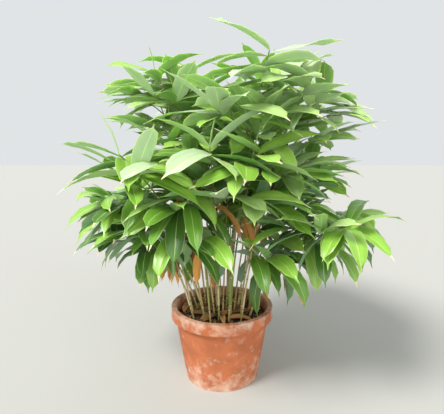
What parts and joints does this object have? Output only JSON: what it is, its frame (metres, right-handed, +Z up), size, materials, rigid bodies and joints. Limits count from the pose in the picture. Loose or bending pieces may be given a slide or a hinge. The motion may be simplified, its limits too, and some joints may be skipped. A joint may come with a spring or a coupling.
{
  "type": "potted bamboo",
  "caption": "Clump of broad-leaved bamboo in a round clay pot: thin ringed canes that lean outward and carry drooping fans of long, wide leaves.",
  "frame": {"origin": "centre of the pot's flat underside, at floor level", "axes": "+Z up along the pot's axis; -Y towards the camera that the picture is matched with; +X to its right"},
  "size_m": [1.7218, 1.7605, 1.886],
  "materials": {
    "clay": "matt unglazed clay",
    "soil": "rough damp compost",
    "cane": "smooth straw and green",
    "bare_cane": "dry straw",
    "foliage": "leathery, slightly glossy leaf"
  },
  "bodies": {
    "root": {"pot": "clay", "soil": "soil", "bare_cane_01": "bare_cane", "bare_cane_02": "bare_cane", "bare_cane_03": "bare_cane", "bare_cane_04": "bare_cane", "bare_cane_05": "bare_cane", "bare_cane_06": "bare_cane", "bare_cane_07": "bare_cane", "bare_cane_08": "bare_cane", "bare_cane_09": "bare_cane", "bare_cane_10": "bare_cane", "bare_cane_11": "bare_cane", "bare_cane_12": "bare_cane", "leafy_cane_01": "cane", "leafy_cane_02": "cane", "leafy_cane_03": "cane", "leafy_cane_04": "cane", "leafy_cane_05": "cane", "leafy_cane_06": "cane", "leafy_cane_07": "cane", "leafy_cane_08": "cane", "leafy_cane_09": "cane", "leafy_cane_10": "cane", "leafy_cane_11": "cane", "leafy_cane_12": "cane", "leafy_cane_13": "cane", "leafy_cane_14": "cane", "leafy_cane_15": "cane", "leafy_cane_16": "cane", "leafy_cane_17": "cane", "leafy_cane_18": "cane", "leafy_cane_19": "cane", "leafy_cane_20": "cane", "leafy_cane_21": "cane", "leafy_cane_22": "cane", "foliage_01": "foliage", "foliage_02": "foliage", "foliage_03": "foliage", "foliage_04": "foliage", "foliage_05": "foliage", "foliage_06": "foliage", "foliage_07": "foliage", "foliage_08": "foliage", "foliage_09": "foliage", "foliage_10": "foliage", "foliage_11": "foliage", "foliage_12": "foliage", "foliage_13": "foliage", "foliage_14": "foliage", "foliage_15": "foliage", "foliage_16": "foliage", "foliage_17": "foliage", "foliage_18": "foliage", "foliage_19": "foliage", "foliage_20": "foliage", "foliage_21": "foliage", "foliage_22": "foliage"}
  },
  "joints": []
}
